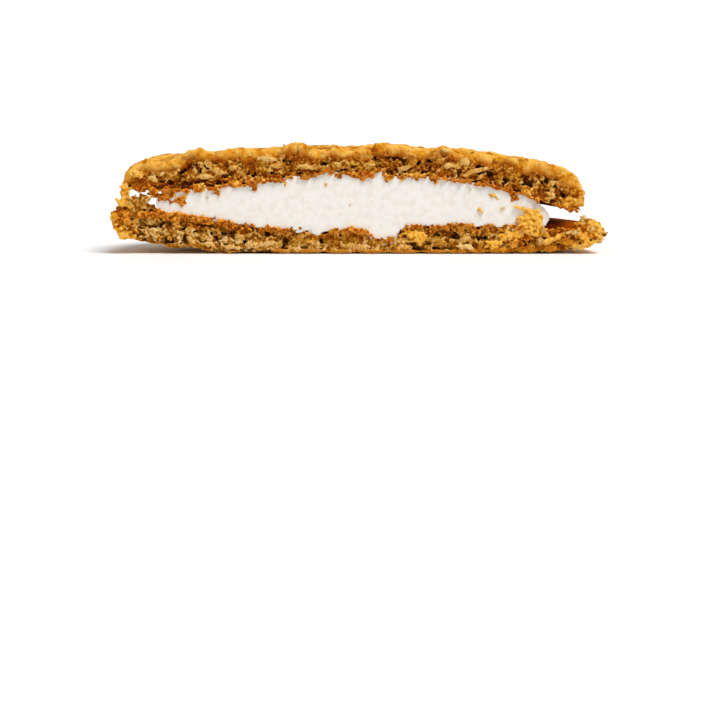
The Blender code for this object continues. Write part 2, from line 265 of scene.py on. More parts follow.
# Smooth folds of crust along the lower cookie's edge, in the same columns.
BOTTOM_SKIN = (
    (33.9, 1.9, 1.8, 0.8, -8, 0.35), (30.8, 1, 1.6, 0.8, -5, 0.25), (27.3, 0.8, 2.4, 0.75, 0, 0.12),
    (23.2, 0.6, 2.4, 0.55, 2, 0.1), (19.3, 0.5, 2, 0.4, 0, 0.1),
    (-8.3, 0.5, 2.8, 0.4, 0, 0.8), (-3, 0.4, 2.8, 0.32, 0, 0.7), (2.2, 0.4, 2.8, 0.32, 0, 0.6),
    (7.4, 0.4, 2.8, 0.32, 0, 0.5), (12.4, 0.4, 2.6, 0.32, 0, 0.4), (16.2, 0.4, 2.2, 0.34, 0, 0.25),
    (-12.6, 0.5, 1.8, 0.32, 0, 0.7),
)

# Small crumbs stuck to the cut cream: (along, height, radius).
SPECKS = (
    (23.3, 7.4, 0.21), (19.5, 7.1, 0.3), (19.8, 6.8, 0.25), (-5.3, 11.2, 0.17), (-25.8, 7.4, 0.17),
    (-24.4, 9.1, 0.17), (-9, 12.1, 0.26), (-4.5, 12.9, 0.26), (7, 12, 0.26), (9.6, 12.3, 0.3),
    (12.5, 11.6, 0.26), (-1.4, 7.9, 0.14), (8.3, 9.2, 0.15), (18, 10.4, 0.17), (-17.6, 10.8, 0.17),
)

# Cream that the knife pressed into the lower crumb, as loose lumps and as one broad lobe: (along, height,
# half length, half height, tilt in degrees).
CREAM_BITS = (
    (-9.3, 3.8, 1, 0.32, 15), (-6.9, 3.7, 0.9, 0.7, -30), (-8, 4.3, 1.2, 0.45, 5),
)
CREAM_DRAG = (3.9, 3.7, 2.4, 1.1, 0)

# Peaks of cream pressed up into the upper cookie: (along, height, half width).
CREAM_PEAKS = ((-4.7, 1, 1.7), (-1.9, 0.4, 0.9), (3.3, 1.3, 0.75))

# How far a cookie's top is raised at the cut, in steps along it: (along, rise).
TOP_TRIM = (
    (-34, -0.1), (-33, -0.7), (-31, -1), (-29.5, -0.6), (-28.3, -0.3), (-27.6, 0.3), (-26, 0.35),
    (-25.1, 0.2), (-24.7, -0.3), (-22.5, -0.3), (-21, 0.1), (-19, 0.05), (-18, -0.35), (-16, -0.2),
    (-14, -0.25), (-10.5, 0.1), (-8.7, -0.25), (-7, -0.75), (-5.8, -0.75), (-5, -0.5), (-4, 0.1),
    (-2.8, -0.5), (-1.5, -0.8), (-0.4, -0.5), (0.9, -0.9), (2.2, -0.8), (2.6, 0.3), (4, 0.05),
    (5.5, -0.4), (8.2, -0.35), (8.7, -0.6), (12.8, -0.45), (13.3, 0.25), (14.3, -0.1), (15.5, -0.45),
    (16.7, -0.85), (18, -0.5), (20, -0.3), (22.3, -0.75), (23.5, -0.5), (26.5, -0.35), (28.5, -0.1),
    (33, -0.15), (36, 0),
)
BOTTOM_TRIM = ((29.8, 0), (30.8, -0.5), (31.6, -0.9), (34.4, -0.8), (35.6, -0.3), (36.4, 0))

# Where an edge at the cut is drawn out: (along, height, half width, half height, shift along, shift up).
TOP_PULLS = ((-37.7, 12, 1.7, 1.4, -0.3, -1.5), (-37, 14.2, 1.8, 1.6, -0.6, 0))
BOTTOM_PULLS = ((-35.5, 1.8, 2.8, 1, 0, -0.5),)

# Ends of the lower cookie that are torn crumb right to their tops: (side, along, height).
TORN_ENDS = ((-1, 33.2, 6.6), (1, 34.2, 4.6))

# The two cookies at their cuts. The small crumbs along the cream are seam=(from, to, how many, how deep),
# and ends=(left, right, how much further in the crust starts there). The trails are laid so far into the
# cut, the crumb is paler by so much for each millimetre to the right, rust_gaps breaks up the orange
# layer, and lift raises the flat side behind the right end. Noise and draws follow seed and shuffle.
TOP_CUT = SimpleNamespace(
    layer="top_cookie", crumb="top_crumb", dough="Golden oatmeal cookie",
    flat_side="Flat side of the upper cookie", crust_up=True, seed=2.7, shuffle=11,
    trails=TOP_TRAILS, crevices=TOP_CREVICES, oats=TOP_OATS, skin=(), specks=SPECKS, trim=TOP_TRIM,
    pulls=TOP_PULLS, torn_ends=(), cream=(), seam=(-33, 29, 400, 0.3), ends=(-38, 36.4, 0.2),
    laid=0.05, paler=0.001, rust_gaps=0.1, lift=0.0,
)
BOTTOM_CUT = SimpleNamespace(
    layer="bottom_cookie", crumb="bottom_crumb", dough="Brown oatmeal cookie",
    flat_side="Flat side of the lower cookie", crust_up=False, seed=6.1, shuffle=12,
    trails=BOTTOM_TRAILS, crevices=BOTTOM_CREVICES, oats=BOTTOM_OATS, skin=BOTTOM_SKIN, specks=(),
    trim=BOTTOM_TRIM, pulls=BOTTOM_PULLS, torn_ends=TORN_ENDS, cream=(*CREAM_BITS, CREAM_DRAG),
    seam=(-33, 30, 480, 0.6), ends=(-40, 40, 0.4), laid=0.35, paler=-0.004, rust_gaps=-0.04, lift=0.7,
)


def linear(code):
    """An sRGB hex colour as the linear red, green, blue and alpha that Blender's shaders use."""
    shares = [int(code[i:i + 2], 16) / 255 for i in (1, 3, 5)]
    return (*[s / 12.92 if s <= 0.04045 else ((s + 0.055) / 1.055) ** 2.4 for s in shares], 1.0)


def swatch(name, description, code):
    """A colour setting."""
    return FloatVectorProperty(
        name=name, description=description, default=linear(code), size=4, subtype="COLOR", min=0, max=1,
    )


def length(name, description, millimetres):
    """A length setting."""
    return FloatProperty(name=name, description=description, default=millimetres * MM, unit="LENGTH")


def share(name, description, value):
    """A setting from 0 to 1."""
    return FloatProperty(name=name, description=description, default=value, subtype="FACTOR", min=0, max=1)


def whole(name, description, number):
    """A whole-number setting."""
    return IntProperty(name=name, description=description, default=number)


# The cookies' settings: kind, name, description, and the defaults of the upper and of the lower cookie.
COOKIE_SETTINGS = {
    "mesh_size": (length, "Mesh size", "Spacing of the mesh on the crust", 0.38, 0.38),
    "cut_splits": (whole, "Cut splits", "Extra cuts in each face of the cut", 2, 2),
    "crumb_mesh": (length, "Crumb mesh size", "Spacing of the mesh on the crumb", 0.138, 0.138),
    "grains": (whole, "Grains", "Grains of crumb on the cut", 1900, 2600),
    "grain_size": (length, "Grain size", "Radius of the larger grains", 0.78, 0.68),
    "crumb_tone": (share, "Crumb tone", "How pale the grains are", 0.5, 0.58),
    "recess": (length, "Recess", "How far the crumb lies behind the cut between its grains", 1.1, 0.8),
    "hollow": (length, "Hollow", "Extra depth of the wide hollows", 0.95, 0.9),
    "hollow_share": (share, "Hollow share", "How much of the crumb is hollow", 0.24, 0.12),
    "crust_start": (share, "Crust start", "Where the crust begins, from the cream side out", 0.6, 0.9),
    "rust_end": (share, "Rust end", "Where the orange layer beside the cream ends", 0.12, 0.2),
    # This bright crust colour is partly pale crust and partly painted highlight on raised crust and crumb.
    "glaze": (swatch, "Bright crust", "Where the crust is thin and pale", "#f2bc58", "#f6be50"),
    "crust": (swatch, "Crust", "The golden crust", "#dd921c", "#e6a02c"),
    "amber": (swatch, "Under the crust", "Where the crust turns to crumb", "#a65404", "#aa600a"),
    "pale": (swatch, "Pale crumb", "Torn edges and bits of oat", "#e4bc70", "#e6c280"),
    "gold": (swatch, "Golden crumb", "Raised crumb", "#ca8c2e", "#c88e34"),
    "tan": (swatch, "Crumb", "The body of the crumb", "#a2620c", "#a46c12"),
    "brown": (swatch, "Deep crumb", "Crumb between the grains", "#8c4606", "#864604"),
    # The hollow colour is painted shade: mixed in where crumb lies deep and in cracks and pits, and the
    # crumb's dark end.
    "shade": (swatch, "Hollow colour", "The bottom of the hollows", "#843a08", "#723606"),
    "rust": (swatch, "Flat-side grains", "Grains torn from the flat side", "#ac560a", "#aa560c"),
    "ember": (swatch, "Bright grains", "The brightest of those grains", "#de8e28", "#e29630"),
    "flat": (swatch, "Flat side", "The smooth side baked against the tray", "#b0500a", "#c0580c"),
    # This far flat side colour is painted shadow: the material darkens the far part of each flat side
    # towards it.
    "dusk": (swatch, "Far flat side", "That side near its rim, baked darker", "#422614", "#422614"),
}


class TopCookieSettings(bpy.types.PropertyGroup):
    """The upper cookie: a thick golden crust over a crumb with wide hollows."""

    __annotations__ = {key: kind(*words, top) for key, (kind, *words, top, _) in COOKIE_SETTINGS.items()}


class BottomCookieSettings(bpy.types.PropertyGroup):
    """The lower cookie: a closer, paler crumb and a thin crust."""

    __annotations__ = {key: kind(*words, low) for key, (kind, *words, _, low) in COOKIE_SETTINGS.items()}


class CreamSettings(bpy.types.PropertyGroup):
    """The whipped filling."""

    mesh_size: length("Mesh size", "Spacing of the mesh", 0.36)
    cut_splits: whole("Cut splits", "Extra cuts in each face of the cut", 2)
    swell: length("Swell", "How far the cream presses into the cookies", 0.3)
    crumb_mesh: length("Crumb mesh size", "Spacing of the mesh on its small lumps", 0.1)
    fluff: length("Fluff", "Height of the soft relief on the cut", 0.02)
    white: swatch("White", "The whipped cream", "#f4f0e9")
    cream: swatch("Cream", "The warmer hollows in it", "#eee6da")


class StageSettings(bpy.types.PropertyGroup):
    """The photograph's plain white studio."""

    paper: swatch("Paper", "The seamless paper", "#fcfcfc")
    key: FloatProperty(name="Key light", description="Strength of the soft main light", default=2.7)
    room: FloatProperty(name="Room light", description="Strength of the white room", default=0.3)


def smooth(low, high, value):
    """0 below low, 1 above high, and a soft step between; low may be the larger of the two."""
    t = min(max((value - low) / (high - low), 0.0), 1.0)
    return t * t * (3 - 2 * t)


def select_only(piece):
    """Selects one object and makes it the active one."""
    bpy.ops.object.select_all(action="DESELECT")
    piece.select_set(True)
    bpy.context.view_layer.objects.active = piece


def apply_modifier(piece, kind, **values):
    """Adds a modifier with its values and applies it."""
    step = piece.modifiers.new(kind.title(), kind)
    for name, value in values.items():
        setattr(step, name, value)
    select_only(piece)
    bpy.ops.object.modifier_apply(modifier=step.name)


def fine_copy(layer, name, look):
    """A copy of a layer of the frame with small even faces, smaller still along the cut."""
    piece = bpy.data.objects.new(name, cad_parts[layer].data.copy())
    bpy.context.scene.collection.objects.link(piece)
    piece.data.materials.clear()
    select_only(piece)
    bpy.ops.object.mode_set(mode="EDIT")
    bpy.ops.mesh.select_all(action="SELECT")
    bpy.ops.mesh.remove_doubles(threshold=1e-6)
    bpy.ops.object.mode_set(mode="OBJECT")
    apply_modifier(piece, "REMESH", mode="VOXEL", voxel_size=look.mesh_size)
    apply_modifier(piece, "SMOOTH", factor=0.5, iterations=6)
    for face in piece.data.polygons:
        behind = face.center.y / MM - CUT
        face.select = behind < 1.0 or behind < 2.2 and face.normal.y < -0.4
    bpy.ops.object.mode_set(mode="EDIT")
    bpy.ops.mesh.select_mode(type="FACE")
    bpy.ops.mesh.subdivide(number_cuts=look.cut_splits)
    bpy.ops.object.mode_set(mode="OBJECT")
    return piece


def points_and_normals(mesh):
    """A mesh's points, in millimetres, each with its normal."""
    return [(v.co / MM, v.normal.copy()) for v in mesh.vertices]


def set_points(mesh, moved, marks=(), tuck=0.0):
    """Puts a mesh's points at new places, in millimetres: above the plate, and tucked up behind the cut.
    Keeps their marks, and smooths the shading."""
    moved = np.array(moved, np.float32)
    behind = np.clip((moved[:, 1] - CUT - 0.25) / 0.35, 0, 1)
    moved[:, 2] = np.maximum(moved[:, 2], 0.01 + tuck * behind)
    mesh.vertices.foreach_set("co", (moved * MM).ravel())
    mesh.update()
    for name, values in zip(MARKS, np.array(marks, np.float32).T.copy()):
        mesh.attributes.new(name, "FLOAT", "POINT").data.foreach_set("value", values)
    mesh.shade_smooth()


def layer_tree(layer):
    """One of the frame's layers, made ready for finding the nearest place on it."""
    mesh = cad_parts[layer].data
    return BVHTree.FromPolygons([v.co for v in mesh.vertices], [f.vertices for f in mesh.polygons])


def rise_in_layer(tree, point, normal):
    """How high a surface point lies between its layer's underside, 0, and top, 1."""
    inside = point - 0.35 * normal
    inside.y = max(inside.y, CUT + 1.3)
    up = tree.ray_cast(inside * MM, Vector((0, 0, 1)))[0]
    down = tree.ray_cast(inside * MM, Vector((0, 0, -1)))[0]
    if up is None or down is None:
        return 1.0 if normal.z > 0 else 0.0
    return min(max((point.z - down.z / MM) / max((up.z - down.z) / MM, 0.1), 0.0), 1.0)


def hollow_at(point, look, cut):
    """How much of a hollow there is at one place of the crumb, from 0 to 1."""
    wide = noise.fractal(Vector((point.x / 2.6, cut.seed + 4, point.z / 1.1)), 0.9, 2.0, 3)
    edge = 0.5 - look.hollow_share
    amount = smooth(edge, edge + 0.3, wide)
    ragged = 0.3 * noise.noise(point / 0.55)
    for x, z, half_length, half_height in cut.crevices:
        if abs(point.x - x) < 1.5 * half_length and abs(point.z - z) < 1.5 * half_height:
            away = math.hypot((point.x - x) / half_length, (point.z - z) / half_height) + ragged
            amount = max(amount, smooth(1.25, 0.6, away))
    return amount


def tear(point):
    """Rough crumb at one place of a cut: how far it stands out, in millimetres."""
    ridge = noise.ridged_multi_fractal(point / CUT_RIDGES, 0.9, 2.1, 4, 1.0, 2.0)
    pore = noise.voronoi(point / PORES)[0][0]
    return 0.3 * min(ridge / 2.2, 1.2) - 0.25 * pore


def crust_relief(point, seed):
    """A baked crust: millimetres out, the depth of its cracks and pits from 0 to 1 for painted shade, and
    how pale it is.
    """
    bent = point + 0.8 * noise.noise_vector(point * 0.35)
    near = noise.voronoi(bent / PLATES + Vector((seed, 0, 0)))[0]
    crack = smooth(0.09, 0.0, near[1] - near[0]) * smooth(-0.25, 0.2, noise.noise(point * 0.2))
    oats, centres = noise.voronoi(bent / OAT_BUMPS + Vector((0, seed, 0)))
    bump = smooth(0.0, 0.3, oats[1] - oats[0])
    pale = 0.3 * bump * smooth(0.15, 0.3, noise.noise(centres[0] * 3.7))
    grain = noise.fractal(point / GRIT, 0.8, 2.1, 3)
    pit = smooth(0.16, 0.05, noise.voronoi(point / PITS + Vector((0, 0, seed)))[0][0])
    seam = smooth(0.3, 0.0, near[1] - near[0])
    # Oats are paler in their own colour; bumps and grain are painted lighter and the seams beside cracks
    # darker, as light and shade.
    tone = pale + 0.25 * grain + 0.15 * bump - 0.35 * seam
    return 0.16 * bump + 0.12 * grain - 0.3 * crack - 0.2 * pit - 0.12, 0.7 * max(crack, pit), tone


def bake_parts(bake, point, look, cut):
    """How much crust and how much of the orange flat-baked layer there is at one place."""
    uneven = noise.noise(point / 2.8 + Vector((0, 0, cut.seed)))
    left, right, more = cut.ends
    end = smooth(5.0, 0.8, min(point.x - left, right - point.x) + 1.2 * uneven)
    start = look.crust_start + 0.14 * uneven - more * end
    crust = smooth(start - 0.1, start + 0.36, bake)
    ragged = 0.16 * noise.noise(point / 0.8 + Vector((cut.seed, 0, 0)))
    wide = smooth(-8.0, -24.0, point.x)
    rust = smooth(look.rust_end + 0.1, look.rust_end - 0.05, bake + ragged - 0.07 * wide)
    return crust, rust * rusty(point, cut) * (1 - end * min(more, 1.0)), uneven


def rusty(point, cut):
    """Whether the orange layer shows at one place along the cream, broken in patches except on the left."""
    patch = noise.noise(Vector((point.x / 1.7, cut.seed + 9, point.z / 0.8)))
    return smooth(cut.rust_gaps - 0.16, cut.rust_gaps + 0.16, patch + 0.4 * smooth(-8.0, -24.0, point.x))


def reshape(point, rise, cut):
    """Where a point of a cookie lies once the cookie's edges at the cut have their uneven shape."""
    behind = point.y - CUT
    near = smooth(9.0, 2.0, behind)
    upper = smooth(0.3, 0.8, rise)
    shift = Vector((0, 0, near * upper * float(np.interp(point.x, *zip(*cut.trim)))))
    tip = smooth(29.5, 32.0, point.x) * smooth(1.0, 5.0, behind) * smooth(26.0, 18.0, behind)
    shift.z += cut.lift * upper * tip
    for x, z, wide, high, along, up in cut.pulls:
        away = ((point.x - x) / wide) ** 2 + ((point.z - z) / high) ** 2
        shift += near * math.exp(-away) * Vector((along, 0, up))
    return point + shift


def torn_end(point, cut):
    """1 on the clumps of torn crumb at the ends of a cookie, 0 elsewhere."""
    near = smooth(3.0, 1.5, point.y - CUT)
    return near * max((
        smooth(along, along + 1.2, side * point.x) * smooth(height, height + 0.8, point.z)
        for side, along, height in cut.torn_ends
    ), default=0.0)


def bake_cookie(look, cut):
    """A cookie with its crust, its flat-baked side and its torn cut, and the tree of the layer it is."""
    # The bends of the crust's cracks follow this seed, and without one they follow the clock.
    noise.seed_set(cut.shuffle)
    piece = fine_copy(cut.layer, cut.layer + "_baked", look)
    tree = layer_tree(cut.layer)
    deepest = (look.recess + look.hollow) / MM
    moved = []
    marks = []
    for point, normal in points_and_normals(piece.data):
        behind = point.y - CUT
        torn = smooth(0.3, 0.75, -normal.y) * smooth(3.0, 1.6, behind)
        rise = rise_in_layer(tree, point, normal)
        point = reshape(point, rise, cut)
        clump = torn_end(point, cut)
        bake = rise if cut.crust_up else 1 - rise
        crust, rust, uneven = bake_parts(bake, point, look, cut)
        outer = normal.z if cut.crust_up else -normal.z
        rim = smooth(2.0, 4.0, behind) * smooth(0.15, 0.35, bake)
        crust = max(crust, rim, smooth(0.5, 0.9, outer) * (1 - torn))
        out, crack, lift = crust_relief(point, cut.seed) if torn < 1 else (0.0, 0.0, 0.0)
        flat = smooth(0.25, 0.1, bake) * (1 - clump)
        push = normal * out * (1 - 0.8 * flat) * (1 - torn)
        # Cracks and pits in the crust get painted shade through the depth mark.
        depth = 0.8 * crack * (1 - flat)
        tone = 0.47 + 0.3 * uneven + lift
        if torn > 0:
            open_crumb = smooth(0.35, 0.05, crust) * smooth(0.0, 0.08, bake)
            rough = tear(point)
            recess = (look.recess + look.hollow * hollow_at(point, look, cut)) / MM
            inward = open_crumb * recess - rough * (0.4 + 0.6 * open_crumb) + in_cream(point, cut)
            push += Vector((0, inward * torn, 0))
            # Painted light and shade on torn crumb: raised crumb is painted paler, pores darker, and crumb
            # lying deeper behind the cut darker through the depth mark.
            tone += torn * (0.56 + 0.3 * uneven + rough - tone)
            depth += torn * (0.7 * smooth(0.36, 1.18, inward / deepest) - depth)
        # The flat side is painted darker further behind the cut, as shadow.
        far = 0.45 + 0.45 * smooth(4.5, 10.0, behind + 3 * uneven)
        moved.append(point + push)
        marks.append((crust, rust * (1 - clump), flat * (1 - torn) * far, depth, tone))
    set_points(piece.data, moved, marks)
    return piece, tree


def span(tree, x):
    """The heights of a layer's underside and top just behind the cut, in millimetres, or None beyond it."""
    start = Vector((x, CUT + 1.0, 40)) * MM
    top = tree.ray_cast(start, Vector((0, 0, -1)))[0]
    start.z = -0.01
    under = tree.ray_cast(start, Vector((0, 0, 1)))[0]
    return None if top is None or under is None else (under.z / MM, top.z / MM)


def body_grain(draw, tree, look, cut):
    """One grain at a random place of the crumb, or None where there is crust, a hollow or cream."""
    x = draw.uniform(-40, 40)
    heights = span(tree, x)
    if heights is None:
        return None
    rise = draw.random()
    bake = rise if cut.crust_up else 1 - rise
    low, high = heights
    place = reshape(Vector((x, CUT, low + rise * (high - low))), rise, cut)
    crust, rust, _ = bake_parts(bake, place, look, cut)
    rust *= 1 - torn_end(place, cut)
    if draw.random() < 0.9 * max(smooth(0.35, 0.8, crust), hollow_at(place, look, cut)):
        return None
    if in_cream(place, cut) or cut.crust_up and place.z < low + cream_lobe(x):
        return None
    radius = look.grain_size / MM * (0.3 + 0.7 * draw.random() ** 3)
    if rust > 0.5:
        radius *= 0.7
    radius = min(radius, 0.16 + 0.9 * min(place.z - low, high - place.z))
    if radius < 0.12:
        return None
    place.y += 0.1 + radius + 0.7 * draw.random() ** 2
    tone = look.crumb_tone + 0.6 * noise.noise(place / 1.5) + draw.gauss(0, 0.15) + cut.paler * place.x
    return place, radius, tone, crust, rust


def trail_grains(draw, cut):
    """The crumbs along the trails of a cut."""
    grains = []
    for kind, many, spread, size, path in cut.trails:
        tone, crust, rust = KINDS[kind]
        for number in range(many):
            step = (number + draw.random()) / many * (len(path) - 1)
            (x0, z0), (x1, z1) = path[int(step)], path[int(step) + 1]
            part = step - int(step)
            place = Vector((x0 + part * (x1 - x0), CUT, z0 + part * (z1 - z0)))
            place += Vector((draw.gauss(0, 0.6), 0, draw.gauss(0, 0.6))) * spread
            place.y += 0.1 + 0.5 * size - cut.laid + abs(draw.gauss(0, 0.25))
            radius = size * draw.uniform(0.6, 1.2)
            grains.append((place, radius, tone + draw.gauss(0, 0.2), crust, rust))
    return grains


def seam_grains(draw, tree, cut):
    """The small crumbs along the line where a cookie meets the cream."""
    grains = []
    start, end, many, depth = cut.seam
    for _ in range(many):
        x = draw.uniform(start, end)
        low, high = span(tree, x)
        if cut.crust_up:
            place = Vector((x, CUT, low + cream_lobe(x) + draw.uniform(-0.2, depth)))
        else:
            place = Vector((x, CUT, high - draw.uniform(-0.4, depth)))
        place.y += draw.uniform(-0.1, 0.4)
        if in_cream(place, cut):
            continue
        rust = rusty(place, cut)
        tone = draw.gauss(0.62 - 0.2 * rust, 0.25)
        grains.append((place, draw.uniform(0.13, 0.38), tone, 0.5 * (1 - rust), rust))
    return grains


def speck_grains(cut):
    """The single crumbs stuck to the cream."""
    grains = []
    for x, z, radius in cut.specks:
        tone, crust = (1.05, 0.2) if radius < DUST else (0.75, 0.9)
        grains.append((Vector((x, CUT + 0.2, z)), 1.5 * radius, tone, crust, 0.0))
    return grains


def crumb_grains(tree, look, cut):
    """All grains of crumb on a cut, each as (centre, radius, tone, crust, rust)."""
    draw = random.Random(cut.seed)
    grains = []
    while len(grains) < look.grains:
        grain = body_grain(draw, tree, look, cut)
        if grain is not None:
            grains.append(grain)
    return grains + trail_grains(draw, cut) + seam_grains(draw, tree, cut) + speck_grains(cut)


def in_cream(place, cut):
    """Whether a place of a cut lies in cream that was pressed into it."""
    return any(
        ((place.x - x) / half_length) ** 2 + ((place.z - z) / half_height) ** 2 < 1
        for x, z, half_length, half_height, _ in cut.cream
    )


def cream_lobe(x):
    """How far the cream stands up into the upper cookie at one place along the cut, in millimetres."""
    peaks = sum(high * math.exp(-(((x - along) / wide) ** 2)) for along, high, wide in CREAM_PEAKS)
    wave = noise.noise(Vector((x / 1.7, 3.3, 0)))
    ripple = noise.noise(Vector((x / 0.6, 7.1, 0)))
    return peaks - 0.1 + 0.4 * wave + 0.2 * ripple


def drop_loose(piece, layers):
    """Deletes small crumbs that hang in the air, away from every layer."""
    lump = bmesh.new()
    lump.from_mesh(piece.data)
    waiting = set(lump.verts)
    loose = []
    for first in lump.verts:
        if first not in waiting:
            continue
        waiting.remove(first)
        island = [first]
        for point in island:
            for edge in point.link_edges:
                other = edge.other_vert(point)
                if other in waiting:
                    waiting.remove(other)
                    island.append(other)
        if len(island) <= SMALL_CRUMB and not any(
            layer.find_nearest(point.co, HELD_WITHIN * MM)[0] is not None
            for point in island[::4] for layer in layers
        ):
            loose += island
    bmesh.ops.delete(lump, geom=loose, context="VERTS")
    lump.to_mesh(piece.data)
    lump.free()


def ball(subdivisions):
    """The points and faces of a small round body, for copies to be made of."""
    body = bmesh.new()
    bmesh.ops.create_icosphere(body, subdivisions=subdivisions, radius=1.0)
    shape = np.array([p.co for p in body.verts]), np.array([[p.index for p in f.verts] for f in body.faces])
    body.free()
    return shape


def copies(name, shape, spots, mesh_size):
    """A body copied to each of many places, given in millimetres, and melted together."""
    points, faces = shape
    placed = [points @ np.array(s.to_3x3()).T + np.array(s.translation) for s in spots]
    linked = [faces + number * len(points) for number in range(len(spots))]
    mesh = bpy.data.meshes.new(name)
    mesh.from_pydata((np.concatenate(placed) * MM).tolist(), [], np.concatenate(linked).tolist())
    piece = bpy.data.objects.new(name, mesh)
    bpy.context.scene.collection.objects.link(piece)
    apply_modifier(piece, "REMESH", mode="VOXEL", voxel_size=mesh_size)
    return piece


def flake_spot(x, z, half_length, half_height, tilt, proud=0.0):
    """The place and shape of a lump that lies along a cut, standing out from it by a given distance."""
    depth = 0.5 * half_height + 0.15
    turn = Euler((0, math.radians(-tilt), 0)).to_matrix().to_4x4()
    size = Matrix.Diagonal((half_length, depth, half_height)).to_4x4()
    return Matrix.Translation((x, CUT + depth - proud, z)) @ turn @ size


def crumb_mass(grains, look, cut):
    """A mass of ragged crumb and oats: half of its grains are thin flakes of torn dough, lying level.
    A lump is an oat or a fold of crust, as (spot, tone, (crust, rust, roughness))."""
    draw = random.Random(cut.shuffle)
    lumps = [(flake_spot(*spot[:5]), spot[5], (0.1, 0.0, 0.55)) for spot in cut.oats]
    for spot in cut.skin:
        right = smooth(14, 20, spot[0])
        mark = (0.5 + 0.45 * right, 0.35 * right, 0.5 - 0.25 * right)
        lumps.append((flake_spot(*spot[:5]), spot[5], mark))
    bodies = [spot.inverted() for spot, *_ in lumps]
    grains = [g for g in grains if not any(math.hypot((b @ g[0]).x, (b @ g[0]).z) < 0.9 for b in bodies)]
    spots = []
    places = [grain[0] for grain in grains]
    looks = [(*grain[2:], 1.0) for grain in grains]
    for place, radius, *_ in grains:
        if draw.random() < 0.5:
            turn = Euler([draw.uniform(0, math.tau) for _ in range(3)]).to_matrix().to_4x4()
            widths = [radius * draw.uniform(0.65, 1.2) for _ in range(3)]
        else:
            turn = Euler([draw.gauss(0, 0.35), draw.gauss(0, 0.35), 0]).to_matrix().to_4x4()
            widths = [radius * draw.uniform(*limits) for limits in ((1.1, 1.7), (0.9, 1.2), (0.3, 0.5))]
        spots.append(Matrix.Translation(place) @ turn @ Matrix.Diagonal(widths).to_4x4())
    for spot, tone, mark in lumps:
        spots.append(spot)
        for along in (-0.8, -0.4, 0, 0.4, 0.8):
            places.append(spot @ Vector((along, -0.5, 0)))
            looks.append((tone, *mark))
    piece = copies(cut.crumb, ball(2), spots, look.crumb_mesh)
    drop_loose(piece, [layer_tree(name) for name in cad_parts])
    nearest = KDTree(len(places))
    for number, place in enumerate(places):
        nearest.insert(place, number)
    nearest.balance()
    moved = []
    marks = []
    for point, normal in points_and_normals(piece.data):
        tone, crust, rust, rough = looks[nearest.find(point)[1]]
        ridge = noise.ridged_multi_fractal(point / LUMP_RIDGES, 0.9, 2.1, 3, 1.0, 2.0)
        ridge = rough * (min(ridge / 2.0, 1.2) - 0.5)
        pit = rough * (noise.voronoi(point / PORES)[0][0] - 0.35)
        moved.append(point + normal * (0.2 * ridge - 0.24 * pit))
        behind = point.y - CUT
        # Painted light and shade: ridges paler and pits darker, rims turned from the front given a painted
        # highlight, grains at the front of the cut paler, and grains further behind it darker through the
        # depth mark.
        rim = 0.5 * rough * smooth(0.75, 0.2, -normal.y) * smooth(1.2, 0.4, behind)
        proud = 0.3 * smooth(0.9, 0.15, behind) - 0.24
        tone += (0.65 + 0.25 * crust) * (ridge - pit) + proud + rim
        marks.append((crust, rust, 0.0, 0.6 * smooth(0.9, 2.2, behind), tone))
    set_points(piece.data, moved, marks, tuck=0.7)
    return piece


def whip_cream(look):
    """The cream: swollen against the cookies, pressed up in peaks, and smeared down in one broad lobe."""
    piece = fine_copy("cream_filling", "cream_whipped", look)
    along, bottom, half_length, *_ = CREAM_DRAG
    moved = []
    for point, normal in points_and_normals(piece.data):
        behind = point.y - CUT
        near = smooth(2.5, 1.0, behind)
        inner = smooth(31.0, 28.5, abs(point.x + 0.8))
        side = Vector((normal.x, 0, normal.z))
        side *= smooth(0.1, 0.6, side.length)
        soft = 0.5 * noise.fractal(point / 1.6, 0.8, 2.0, 5) + 0.7 * noise.fractal(point / 0.5, 0.8, 2.0, 3)
        pits = smooth(0.28, 0.05, noise.voronoi(point / 1.1)[0][0])
        swell = look.swell / MM * (0.3 + 0.7 * inner)
        wave = (0.15 * noise.noise(point / 0.9) + 0.1 * noise.noise(point / 0.35)) * near
        shaped = point + side * (swell + wave)
        shaped.z += (cream_lobe(point.x) + 0.2) * near * inner * smooth(6.0, 11.0, point.z)
        shaped.x -= 0.35 * (point.z - 6.5) * smooth(27.5, 30.0, point.x)
        if behind < 1.6:
            shaped.y = CUT + 0.3 + 1.3 * max(0.0, behind - 1.15) / 0.45
        drag = smooth(half_length + 0.3, half_length - 0.4, abs(point.x - along)) * smooth(2.2, 1.4, behind)
        shaped.z -= drag * smooth(bottom + 2.2, bottom + 0.7, point.z)
        shaped.y += 1.1 * smooth(26.5, 31.5, point.x) * smooth(4.5, 1.0, behind)
        shaped += normal * look.fluff / MM * (soft - 0.6 * pits)
        moved.append(shaped)
    set_points(piece.data, moved)
    return piece


def cream_crumbs(mesh_size):
    """Lumps of cream pressed into the lower crumb, cut off flush."""
    spots = [flake_spot(*bit, proud=0.08) for bit in CREAM_BITS]
    piece = copies("cream_crumbs", ball(3), spots, mesh_size)
    moved = [p + 0.1 * noise.fractal(p / 0.7, 0.8, 2.1, 3) * n for p, n in points_and_normals(piece.data)]
    set_points(piece.data, [Vector((p.x, max(p.y, CUT + 0.22), p.z)) for p in moved])
    return piece


